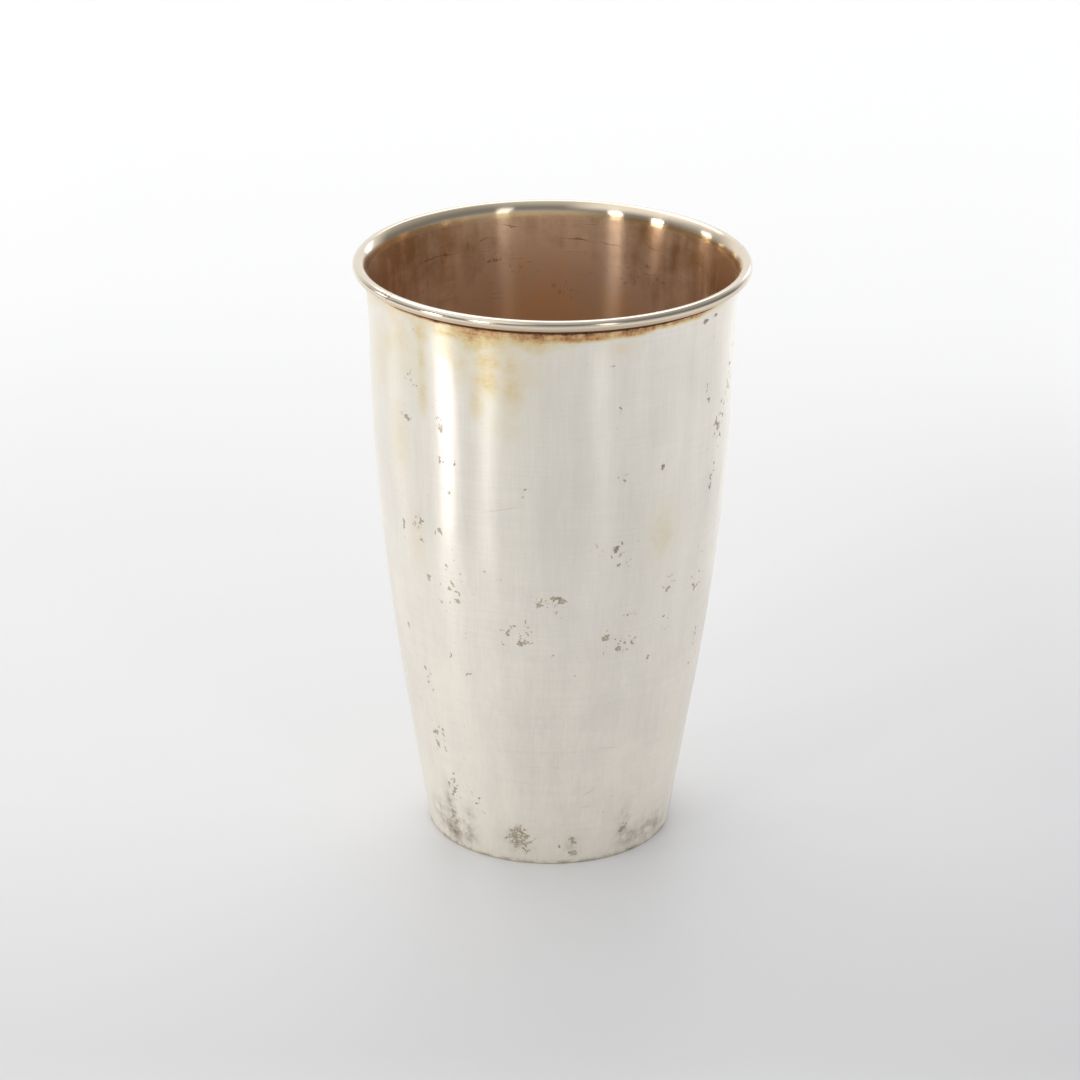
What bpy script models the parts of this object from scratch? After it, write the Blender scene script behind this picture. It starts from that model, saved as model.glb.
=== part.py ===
"""Tapered silver beaker with an everted lip and a half-round wire soldered under it.

Every piece is turned about +Z and stands on z = 0. Lengths are in metres, angles in degrees.
Section points are (radius, height) pairs.
"""

import math

import bmesh
import bpy

# Driving lengths
HEIGHT = 0.120  # table to the top of the bead
BASE_DIAMETER = 0.0492  # outside of the wall at the table
SHOULDER_DIAMETER = 0.0717  # outside of the wall where it stands nearly upright
NECK_DIAMETER = 0.0740  # outside of the wall where the lip begins
WALL = 0.0008  # sheet of the side wall
BASE_THICKNESS = 0.001  # sheet of the base disc
EDGE_ROUNDING = 0.0004  # worn lower corner of the wall
FLARE_RADIUS = 0.00265  # curve of the lip's outer face
BEAD_DIAMETER = 0.0022  # bead made by the lip's rounded edge and the half-round wire
RIM_SOLDER_LEG = 0.0006  # solder under the wire, along each face it wets
BASE_SOLDER_LEG = 0.0012  # solder in the inside corner, along each face it wets
JOINT_GAP = 0.0002  # clearance between pieces that are soldered together

# Driving angles
BASE_LEAN = 9.8  # outward lean of the wall at the table
SHOULDER_LEAN = 1.0  # lean of the wall at the shoulder
NECK_LEAN = 11.0  # lean of the wall under the lip, where it opens again
FLARE_ANGLE = 46.0  # lean of the lip's inner face where it runs into the bead

# Driving shares
SHOULDER_SHARE = 0.85  # height of the shoulder, as a share of the neck's
FILLET_HOLLOW = 0.3  # how far a solder face dips towards its corner

# How finely the turned forms are cut
SEGMENTS = 64
WALL_STEPS = 10
NECK_STEPS = 5
ARC_STEPS = 5
LIP_STEPS = 3
WIRE_STEPS = 10
SMOOTH_ANGLE = 35.0

# Colour, roughness and metallic value of each finish
SATIN_SILVER = ("satin_silver", (0.62, 0.58, 0.52), 0.34, 1.0)
POLISHED_SILVER = ("polished_silver", (0.80, 0.77, 0.72), 0.12, 1.0)
TARNISHED_SOLDER = ("tarnished_solder", (0.16, 0.09, 0.05), 0.55, 1.0)
BROWNED_SOLDER = ("browned_solder", (0.22, 0.12, 0.06), 0.5, 1.0)
WORN_SILVER = ("worn_silver", (0.55, 0.52, 0.47), 0.4, 1.0)

# Places that follow from the driving sizes
BASE_RADIUS = BASE_DIAMETER / 2
SHOULDER_RADIUS = SHOULDER_DIAMETER / 2
NECK_RADIUS = NECK_DIAMETER / 2
BEAD_RADIUS = BEAD_DIAMETER / 2
NECK_ANGLE = 180.0 - NECK_LEAN
LIP_ANGLE = 180.0 - FLARE_ANGLE
# The lip's inner face runs tangent into the bead, so the bead lies on the flare's own radius there
FLARE_TO_BEAD = FLARE_RADIUS + WALL - BEAD_RADIUS
BEAD_HEIGHT = HEIGHT - BEAD_RADIUS
FLARE_HEIGHT = BEAD_HEIGHT - FLARE_TO_BEAD * math.sin(math.radians(FLARE_ANGLE))
FLARE_CENTRE = (NECK_RADIUS + FLARE_RADIUS * math.cos(math.radians(NECK_LEAN)), FLARE_HEIGHT)
BEAD_CENTRE = (FLARE_CENTRE[0] - FLARE_TO_BEAD * math.cos(math.radians(FLARE_ANGLE)), BEAD_HEIGHT)
NECK_HEIGHT = FLARE_HEIGHT + FLARE_RADIUS * math.sin(math.radians(NECK_LEAN))
SHOULDER_HEIGHT = NECK_HEIGHT * SHOULDER_SHARE
BASE_SLOPE = math.tan(math.radians(BASE_LEAN))
SHOULDER_SLOPE = math.tan(math.radians(SHOULDER_LEAN))
NECK_SLOPE = math.tan(math.radians(NECK_LEAN))


def spaced(start, end, steps):
    """Evenly spaced values from start to end, both included."""
    return [start + (end - start) * i / steps for i in range(steps + 1)]


def arc(centre, radius, start, end, steps):
    """Points of an arc in the section plane, with angles counted from the outward direction."""
    angles = [math.radians(a) for a in spaced(start, end, steps)]
    return [(centre[0] + radius * math.cos(a), centre[1] + radius * math.sin(a)) for a in angles]


def stretch(height):
    """The stretch of wall that holds a height, below the shoulder or above it.

    Returns how far up the stretch the height lies, as a share, then the stretch's length, the outer
    radius at each end and the slope at each end.
    """
    if height < SHOULDER_HEIGHT:
        foot, length = 0.0, SHOULDER_HEIGHT
        radii, slopes = (BASE_RADIUS, SHOULDER_RADIUS), (BASE_SLOPE, SHOULDER_SLOPE)
    else:
        foot, length = SHOULDER_HEIGHT, NECK_HEIGHT - SHOULDER_HEIGHT
        radii, slopes = (SHOULDER_RADIUS, NECK_RADIUS), (SHOULDER_SLOPE, NECK_SLOPE)
    return (height - foot) / length, length, radii, slopes


def wall_radius(height):
    """Outer radius of the wall: a cubic for each stretch, with the lean given at both of its ends."""
    t, length, radii, slopes = stretch(height)
    blend = t * t * (3 - 2 * t)
    bulge = t * (1 - t) * ((1 - t) * slopes[0] - t * slopes[1])
    return radii[0] + (radii[1] - radii[0]) * blend + length * bulge


def wall_lean(height):
    """Lean of the wall at a height, in radians, from the slope of wall_radius."""
    t, length, radii, slopes = stretch(height)
    rise = (radii[1] - radii[0]) / length
    slope = 6 * t * (1 - t) * rise + (1 - t) * (1 - 3 * t) * slopes[0] + t * (3 * t - 2) * slopes[1]
    return math.atan(slope)


def inner_radius(height):
    """Inner radius of the wall, its sheet measured square to its face."""
    return wall_radius(height) - WALL / math.cos(wall_lean(height))


def crossing(flare_radius, bead_radius):
    """Where an arc about the flare's centre meets one about the bead's.

    Returns the two angles that the meeting point makes with the line between the centres,
    seen from the flare's centre and from the bead's.
    """
    span = FLARE_TO_BEAD
    at_flare = (span**2 + flare_radius**2 - bead_radius**2) / (2 * span * flare_radius)
    at_bead = (span**2 + bead_radius**2 - flare_radius**2) / (2 * span * bead_radius)
    return math.degrees(math.acos(at_flare)), math.degrees(math.acos(at_bead))


def fillet(corner_to_first, corner_to_second):
    """Closed section of a solder run from the two faces that it wets, listed from their corner."""
    corner = corner_to_first[0]
    first, second = corner_to_first[-1], corner_to_second[-1]
    middle = [(a + b) / 2 for a, b in zip(first, second)]
    hollow = tuple(m + (c - m) * FILLET_HOLLOW for m, c in zip(middle, corner))
    return corner_to_first + [hollow] + corner_to_second[:0:-1]


def side_wall_section():
    """Closed section of the wall, up its outer face, round the lip's edge and down its inner face."""
    at_flare, at_bead = crossing(FLARE_RADIUS, BEAD_RADIUS)
    edge = min(EDGE_ROUNDING, WALL / 2)
    corner = arc((wall_radius(edge) - edge, edge), edge, -90, 0, 3)
    above = spaced(SHOULDER_HEIGHT, NECK_HEIGHT, NECK_STEPS)
    outer = [(wall_radius(z), z) for z in spaced(edge, SHOULDER_HEIGHT, WALL_STEPS) + above[1:]]
    flare = arc(FLARE_CENTRE, FLARE_RADIUS, NECK_ANGLE, LIP_ANGLE - at_flare, ARC_STEPS)
    lip_outside = arc(BEAD_CENTRE, BEAD_RADIUS, at_bead - FLARE_ANGLE, 90, LIP_STEPS)
    lip_inside = arc(BEAD_CENTRE, BEAD_RADIUS, 90, LIP_ANGLE, LIP_STEPS)
    throat = arc(FLARE_CENTRE, FLARE_RADIUS + WALL, LIP_ANGLE, NECK_ANGLE, ARC_STEPS)
    inner = [(inner_radius(z), z) for z in above[::-1] + spaced(SHOULDER_HEIGHT, 0, WALL_STEPS)[1:]]
    return corner + outer[1:] + flare[1:] + lip_outside[1:] + lip_inside[1:] + throat[1:] + inner[1:]


def rim_wire_section():
    """Closed half-round section of the wire, hollowed to sit under the flared lip."""
    seat = FLARE_RADIUS - JOINT_GAP
    at_flare, at_bead = crossing(seat, BEAD_RADIUS)
    round_face = arc(BEAD_CENTRE, BEAD_RADIUS, at_bead - FLARE_ANGLE, -at_bead - FLARE_ANGLE, WIRE_STEPS)
    seat_face = arc(FLARE_CENTRE, seat, LIP_ANGLE + at_flare, LIP_ANGLE - at_flare, ARC_STEPS)
    return round_face + seat_face[1:-1]


def rim_solder_section():
    """Closed section of the solder in the crevice between the wire and the outside of the wall."""
    on_wall = FLARE_RADIUS - JOINT_GAP
    on_wire = BEAD_RADIUS + JOINT_GAP
    at_flare, at_bead = crossing(on_wall, on_wire)
    wire_start = -at_bead - FLARE_ANGLE
    wall_start = LIP_ANGLE + at_flare
    wire_turn = math.degrees(RIM_SOLDER_LEG / on_wire)
    wall_turn = math.degrees(RIM_SOLDER_LEG / on_wall)
    along_wire = arc(BEAD_CENTRE, on_wire, wire_start, wire_start + wire_turn, 2)
    down_wall = arc(FLARE_CENTRE, on_wall, wall_start, wall_start + wall_turn, 1)
    return fillet(along_wire, down_wall)


def base_solder_section():
    """Closed section of the solder in the inside corner above the base disc."""
    floor = BASE_THICKNESS + JOINT_GAP
    up_wall = [(inner_radius(z) - JOINT_GAP, z) for z in spaced(floor, floor + BASE_SOLDER_LEG, 1)]
    corner = up_wall[0]
    along_floor = [corner, (corner[0] - BASE_SOLDER_LEG, floor)]
    return fillet(along_floor, up_wall)


def finish(name, colour, roughness, metallic):
    """Plain metal material."""
    material = bpy.data.materials.new(name)
    material.use_nodes = True
    shader = material.node_tree.nodes["Principled BSDF"]
    shader.inputs["Base Color"].default_value = (*colour, 1.0)
    shader.inputs["Roughness"].default_value = roughness
    shader.inputs["Metallic"].default_value = metallic
    return material


def place(name, shape, look, parent):
    """Make a named object from a bmesh, shaded smooth, with its finish, under the parent."""
    bmesh.ops.recalc_face_normals(shape, faces=shape.faces)
    mesh = bpy.data.meshes.new(name)
    shape.to_mesh(mesh)
    shape.free()
    mesh.shade_smooth()
    mesh.set_sharp_from_angle(angle=math.radians(SMOOTH_ANGLE))
    mesh.materials.append(finish(*look))
    piece = bpy.data.objects.new(name, mesh)
    piece.parent = parent
    bpy.context.scene.collection.objects.link(piece)


def turned(section):
    """Turn a closed section about +Z into a ring."""
    shape = bmesh.new()
    points = [shape.verts.new((r, 0, z)) for r, z in section]
    edges = [shape.edges.new((a, b)) for a, b in zip(points, points[1:] + points[:1])]
    bmesh.ops.spin(
        shape,
        geom=points + edges,
        cent=(0, 0, 0),
        axis=(0, 0, 1),
        angle=math.tau,
        steps=SEGMENTS,
        use_merge=True,
    )
    return shape


def base_disc():
    """Flat round sheet whose edge leans with the inside of the wall."""
    shape = bmesh.new()
    bmesh.ops.create_cone(
        shape,
        cap_ends=True,
        segments=SEGMENTS,
        radius1=inner_radius(0) - JOINT_GAP,
        radius2=inner_radius(BASE_THICKNESS) - JOINT_GAP,
        depth=BASE_THICKNESS,
    )
    bmesh.ops.translate(shape, verts=shape.verts, vec=(0, 0, BASE_THICKNESS / 2))
    return shape


def main():
    """Clear the scene and build the beaker."""
    for old in list(bpy.data.objects):
        bpy.data.objects.remove(old, do_unlink=True)
    beaker = bpy.data.objects.new("beaker", None)
    bpy.context.scene.collection.objects.link(beaker)
    place("side_wall", turned(side_wall_section()), SATIN_SILVER, beaker)
    place("base_disc", base_disc(), WORN_SILVER, beaker)
    place("rim_wire", turned(rim_wire_section()), POLISHED_SILVER, beaker)
    place("rim_solder", turned(rim_solder_section()), TARNISHED_SOLDER, beaker)
    place("base_solder", turned(base_solder_section()), BROWNED_SOLDER, beaker)


main()
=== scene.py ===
"""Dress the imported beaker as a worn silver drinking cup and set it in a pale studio.

Lengths are in metres, and a bearing is an angle in degrees round the cup, counted from the front (-Y)
towards the viewer's right (+X).
"""

import logging
import math
from collections.abc import Callable, Sequence
from dataclasses import astuple, dataclass
from enum import Enum
from functools import partial
from typing import Any

import bmesh
import bpy
import numpy as np
from bmesh.types import BMesh
from bpy.types import Material, Node, NodeSocket, NodeTree, Object
from mathutils import Matrix, Vector


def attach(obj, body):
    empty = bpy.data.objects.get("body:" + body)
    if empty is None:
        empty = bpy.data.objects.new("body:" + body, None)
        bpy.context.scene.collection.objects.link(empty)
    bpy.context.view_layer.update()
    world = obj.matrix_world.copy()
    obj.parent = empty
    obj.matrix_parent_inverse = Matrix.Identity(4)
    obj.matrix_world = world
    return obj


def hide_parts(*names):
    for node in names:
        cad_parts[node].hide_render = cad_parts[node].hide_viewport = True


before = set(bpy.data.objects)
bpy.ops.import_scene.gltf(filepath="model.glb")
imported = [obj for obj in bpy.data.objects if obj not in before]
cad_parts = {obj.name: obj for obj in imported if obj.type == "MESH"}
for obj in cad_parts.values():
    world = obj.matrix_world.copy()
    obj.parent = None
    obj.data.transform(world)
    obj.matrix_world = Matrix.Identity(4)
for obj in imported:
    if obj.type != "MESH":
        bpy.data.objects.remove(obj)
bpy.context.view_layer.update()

LOG = logging.getLogger("beaker")
MM = 0.001
SMOOTH_ANGLE = math.radians(35.0)
UPRIGHT = 0.25  # turn of the satin's grain that draws highlights out upright
SCRATCH_DEPTH = 6 * MM  # how far a scratch's pattern reaches in and out of the sheet
RAGGED_TURNS = (2, 3, 5, 8, 13, 21, 34)  # waves round the cup that make the rim's stain uneven

Array = np.ndarray
Section = list[tuple[float, float]]
Tones = tuple[tuple[float, str], ...]
Source = Node | NodeSocket
Put = Callable[..., Node]


def linear(colour: str) -> tuple[float, float, float, float]:
    """Turn an sRGB hex colour into linear red, green, blue and alpha.

    Args:
        colour: Six hex digits after a hash sign.

    Returns:
        The linear colour, opaque.
    """
    shares = [int(colour[i : i + 2], 16) / 255 for i in (1, 3, 5)]
    light = [s / 12.92 if s <= 0.04045 else ((s + 0.055) / 1.055) ** 2.4 for s in shares]
    return (light[0], light[1], light[2], 1.0)


def fill(node: Node, inputs: dict[str, Any] | list[Any]) -> None:
    """Set a node's inputs to values, or link them to sockets or nodes.

    Args:
        node: The node, in its tree.
        inputs: What each input takes, by name, or in the order of the inputs in use. A node stands for its
            first output in use.
    """
    named = isinstance(inputs, dict)
    sockets = [node.inputs[name] for name in inputs] if named else [s for s in node.inputs if s.enabled]
    for socket, value in zip(sockets, inputs.values() if named else inputs):
        if isinstance(value, Node):
            value = next(s for s in value.outputs if s.enabled)
        if isinstance(value, NodeSocket):
            node.id_data.links.new(value, socket)
        else:
            socket.default_value = value


def add(
    tree: NodeTree,
    kind: str,
    inputs: dict[str, Any] | list[Any] | None = None,
    stops: Sequence[tuple[float, str]] = (),
    **settings: Any,
) -> Node:
    """Add a node, with its settings, its colour stops, and its inputs filled or linked.

    Args:
        tree: The node tree that takes the node.
        kind: The node's type name, without its first two words.
        inputs: What its inputs take, as fill has it.
        stops: Places and hex colours along a colour ramp, of which the first two are its ends.
        settings: The node's own properties.

    Returns:
        The new node.
    """
    node = tree.nodes.new("ShaderNode" + kind)
    for name, value in settings.items():
        setattr(node, name, value)
    for index, (place, colour) in enumerate(stops):
        elements = node.color_ramp.elements
        element = elements[index] if index < 2 else elements.new(place)
        element.position = place
        element.color = linear(colour)
    fill(node, inputs or [])
    return node


def per_metre(across: float, up: float) -> tuple[float, float, float]:
    """Pattern frequencies for features that are so many millimetres across and high."""
    return (1 / (across * MM), 1 / (across * MM), 1 / (up * MM))


def speckle(place: Source, size: float, detail: float, roughness: float = 0.5) -> dict[str, Any]:
    """Inputs of a noise with features of so many millimetres, and with so many finer layers so strong."""
    return {"Vector": place, "Scale": 1 / (size * MM), "Detail": detail, "Roughness": roughness}


def drawn_grain(
    put: Put, place: Source, across: float, up: float, detail: float, roughness: float = 0.5
) -> Node:
    """Add a noise that is drawn out one way, like the marks of a cloth.

    Args:
        put: Adds a node to the material.
        place: Object coordinates.
        across: Size of its features round the cup, in millimetres.
        up: Size of its features upwards, in millimetres.
        detail: How many finer layers it has.
        roughness: How strong these are.

    Returns:
        The noise node.
    """
    run = put("Mapping", {"Vector": place, "Scale": per_metre(across, up)})
    return put("TexNoise", {"Vector": run, "Scale": 1.0, "Detail": detail, "Roughness": roughness})


def spaced(start: float, end: float, steps: int) -> list[float]:
    """Evenly spaced values from start to end, both included."""
    return [start + (end - start) * i / steps for i in range(steps + 1)]


def arc(centre: tuple[float, float], radius: float, start: float, end: float, steps: int) -> Section:
    """Points of an arc in the section plane.

    Args:
        centre: Radius and height of the arc's centre.
        radius: The arc's radius.
        start: First angle in degrees, counted upwards from the outward direction.
        end: Last angle in degrees.
        steps: How many pieces the arc is cut into.

    Returns:
        Radius and height of each point.
    """
    angles = [math.radians(a) for a in spaced(start, end, steps)]
    return [(centre[0] + radius * math.cos(a), centre[1] + radius * math.sin(a)) for a in angles]


def ramp(values: Array, start: Any, end: Any, least: float = 0.0) -> Array:
    """Shares that run from 0 at start to 1 at end, and are never under least."""
    return np.clip((values - start) / (end - start), least, 1)


def towards(bearing: float) -> tuple[float, float]:
    """Unit direction in plan for a bearing in degrees."""
    angle = math.radians(bearing)
    return (math.sin(angle), -math.cos(angle))


class Zone(Enum):
    """Part of the cup's wall that has a finish of its own, with its material index."""

    OUTSIDE = 0
    LIP = 1
    INSIDE = 2


@dataclass(frozen=True)
class Spot:
    """A mark on the wall: where it is, how far it reaches each way in millimetres, and how strong it is."""

    bearing: float
    height: float
    across: float
    tall: float
    amount: float


def spots(*rows: tuple[float, float, float, float, float]) -> tuple[Spot, ...]:
    """Marks from rows of bearing, height, reach across, reach up and strength."""
    return tuple(Spot(*row) for row in rows)


@dataclass(frozen=True)
class Points:
    """Points of the wall: bearings in radians, heights, distances from the axis, and which are inside."""

    bearing: Array
    height: Array
    radius: Array
    inside: Array

    def marked(self, marks: tuple[Spot, ...]) -> Array:
        """Strength of a set of marks at each point.

        Args:
            marks: The marks.

        Returns:
            The strongest mark at each point, from 0 upwards.
        """
        amount = np.zeros_like(self.height)
        for mark in marks:
            turn = (self.bearing - math.radians(mark.bearing) + math.pi) % math.tau - math.pi
            aside = turn * self.radius / (mark.across * MM)
            above = (self.height - mark.height * MM) / (mark.tall * MM)
            amount = np.maximum(amount, mark.amount * np.exp(-(aside**2) - above**2))
        return amount


@dataclass(frozen=True)
class CupForm:
    """Sizes of the cup as the CAD source gives them, and the curves that follow from them."""

    height: float = 0.120
    base_radius: float = 0.0246
    shoulder_radius: float = 0.03585
    neck_radius: float = 0.0370
    wall: float = 0.0008
    base_thickness: float = 0.001
    edge_rounding: float = 0.0004
    flare_radius: float = 0.00265
    bead_radius: float = 0.001095  # a hair under the CAD bead, so that the rounder mesh stays in its box
    base_lean: float = 9.8
    shoulder_lean: float = 1.0
    neck_lean: float = 11.0
    flare_angle: float = 46.0
    shoulder_share: float = 0.85

    @property
    def span(self) -> float:
        """Distance from the flare's centre to the bead's."""
        return self.flare_radius + self.wall - self.bead_radius

    @property
    def flare_centre(self) -> tuple[float, float]:
        """Radius and height of the centre that the lip curves about."""
        radius = self.neck_radius + self.flare_radius * math.cos(math.radians(self.neck_lean))
        drop = self.span * math.sin(math.radians(self.flare_angle))
        return (radius, self.height - self.bead_radius - drop)

    @property
    def bead_centre(self) -> tuple[float, float]:
        """Radius and height of the centre of the bead's section."""
        reach = self.span * math.cos(math.radians(self.flare_angle))
        return (self.flare_centre[0] - reach, self.height - self.bead_radius)

    @property
    def neck_height(self) -> float:
        """Height at which the wall runs into the lip's curve."""
        return self.flare_centre[1] + self.flare_radius * math.sin(math.radians(self.neck_lean))

    @property
    def shoulder_height(self) -> float:
        """Height at which the wall stands nearly upright."""
        return self.neck_height * self.shoulder_share

    def stretch(self, height: Any) -> tuple[Any, Any, tuple[Any, Any], tuple[Any, Any]]:
        """Find the stretch of wall that holds a height, below the shoulder or above it.

        Args:
            height: One height or an array of them.

        Returns:
            How far up the stretch the height lies, the stretch's length, and the radius and the slope at
            its two ends.
        """
        low = height < self.shoulder_height
        slopes = [math.tan(math.radians(a)) for a in (self.base_lean, self.shoulder_lean, self.neck_lean)]
        radii = (self.base_radius, self.shoulder_radius, self.neck_radius)
        foot = np.where(low, 0.0, self.shoulder_height)
        length = np.where(low, self.shoulder_height, self.neck_height - self.shoulder_height)
        ends, leans = ((np.where(low, *each[:2]), np.where(low, *each[1:])) for each in (radii, slopes))
        return (height - foot) / length, length, ends, leans

    def wall_radius(self, height: Any) -> Any:
        """Outer radius of the wall.

        Args:
            height: One height or an array of them.

        Returns:
            The value at each height.
        """
        t, length, ends, slopes = self.stretch(height)
        blend = t * t * (3 - 2 * t)
        bulge = t * (1 - t) * ((1 - t) * slopes[0] - t * slopes[1])
        return ends[0] + (ends[1] - ends[0]) * blend + length * bulge

    def wall_lean(self, height: Any) -> Any:
        """Outward lean of the wall, in radians.

        Args:
            height: One height or an array of them.

        Returns:
            The value at each height.
        """
        t, length, ends, slopes = self.stretch(height)
        rise = (ends[1] - ends[0]) / length
        slope = 6 * t * (1 - t) * rise + (1 - t) * (1 - 3 * t) * slopes[0] + t * (3 * t - 2) * slopes[1]
        return np.arctan(slope)

    def inner_radius(self, height: Any) -> Any:
        """Inner radius of the wall at a height, or at each of several."""
        return self.wall_radius(height) - self.wall / np.cos(self.wall_lean(height))

    def on_wall(self, bearing: float, height: float) -> Vector:
        """Point on the outer wall at a bearing in degrees and a height in millimetres."""
        radius, (aside, ahead) = float(self.wall_radius(height * MM)), towards(bearing)
        return Vector((aside * radius, ahead * radius, height * MM))

    def crossing(self, flare_radius: float, bead_radius: float) -> tuple[float, float]:
        """Where an arc about the flare's centre meets one about the bead's.

        Args:
            flare_radius: Radius of the arc about the flare's centre.
            bead_radius: Radius of the arc about the bead's centre.

        Returns:
            The angles in degrees, from the line between the centres, seen from each centre.
        """
        span = self.span
        at_flare = (span**2 + flare_radius**2 - bead_radius**2) / (2 * span * flare_radius)
        at_bead = (span**2 + bead_radius**2 - flare_radius**2) / (2 * span * bead_radius)
        return math.degrees(math.acos(at_flare)), math.degrees(math.acos(at_bead))


def turned(section: Section, segments: int) -> BMesh:
    """Turn a closed section about +Z into a ring with its faces outwards.

    Args:
        section: Radius and height of each corner, in order.
        segments: How many steps the turn is cut into.

    Returns:
        The ring as a bmesh.
    """
    shape = bmesh.new()
    points = [shape.verts.new((radius, 0, height)) for radius, height in section]
    edges = [shape.edges.new(pair) for pair in zip(points, points[1:] + points[:1])]
    about = {"cent": (0, 0, 0), "axis": (0, 0, 1), "angle": math.tau}
    bmesh.ops.spin(shape, geom=points + edges, **about, steps=segments, use_merge=True)
    bmesh.ops.recalc_face_normals(shape, faces=shape.faces)
    return shape


def settle(name: str, shape: BMesh, finishes: list[Material], node: str) -> Object:
    """Make a piece from a bmesh, dress it, and let it stand for a CAD node.

    Args:
        name: The piece's name.
        shape: The finished form, which is freed.
        finishes: Its materials, in the order of the faces' material numbers.
        node: The CAD node that it replaces.

    Returns:
        The piece.
    """
    mesh = bpy.data.meshes.new(name)
    shape.to_mesh(mesh)
    shape.free()
    mesh.shade_smooth()
    mesh.set_sharp_from_angle(angle=SMOOTH_ANGLE)
    for finish in finishes:
        mesh.materials.append(finish)
    piece = bpy.data.objects.new(name, mesh)
    bpy.context.scene.collection.objects.link(piece)
    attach(piece, "root")
    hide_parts(node)
    return piece


def started(name: str, metallic: float = 1.0) -> tuple[Material, Put, Source, Node]:
    """Start a material, a metal if nothing else is said.

    Args:
        name: The material's name.
        metallic: How metallic it is.

    Returns:
        The material, what adds a node to it, its object coordinates and its shader node.
    """
    material = bpy.data.materials.new(name)
    material.use_nodes = True
    shader = material.node_tree.nodes["Principled BSDF"]
    shader.inputs["Metallic"].default_value = metallic
    put = partial(add, material.node_tree)
    return material, put, put("TexCoord").outputs["Object"], shader


@dataclass(frozen=True)
class Scratch:
    """A fine scratch on the wall: bearing and height of its two ends, and its width in millimetres."""

    start: tuple[float, float]
    end: tuple[float, float]
    width: float = 0.11

    def draw(self, put: Put, place: Source, form: CupForm) -> Node:
        """Add the nodes that draw it.

        Args:
            put: Adds a node to the material.
            place: Object coordinates.
            form: The cup that it lies on.

        Returns:
            A node that gives 1 in the scratch and 0 away from it.
        """
        first, last = (form.on_wall(*end) for end in (self.start, self.end))
        middle = (first + last) / 2
        along = (last - first).normalized()
        outwards = Vector((middle.x, middle.y, 0)).normalized()
        across = outwards.cross(along).normalized()
        turn = Matrix((along, across, along.cross(across))).transposed().to_euler()
        reach = ((last - first).length / 2, self.width * MM, SCRATCH_DEPTH)
        inside = {"Vector": place, "Location": middle, "Rotation": turn, "Scale": reach}
        box = put("Mapping", inside, vector_type="TEXTURE")
        line = put("TexGradient", [box], gradient_type="SPHERICAL")
        return put("MapRange", [line.outputs["Fac"], 0.0, 0.6])


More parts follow.
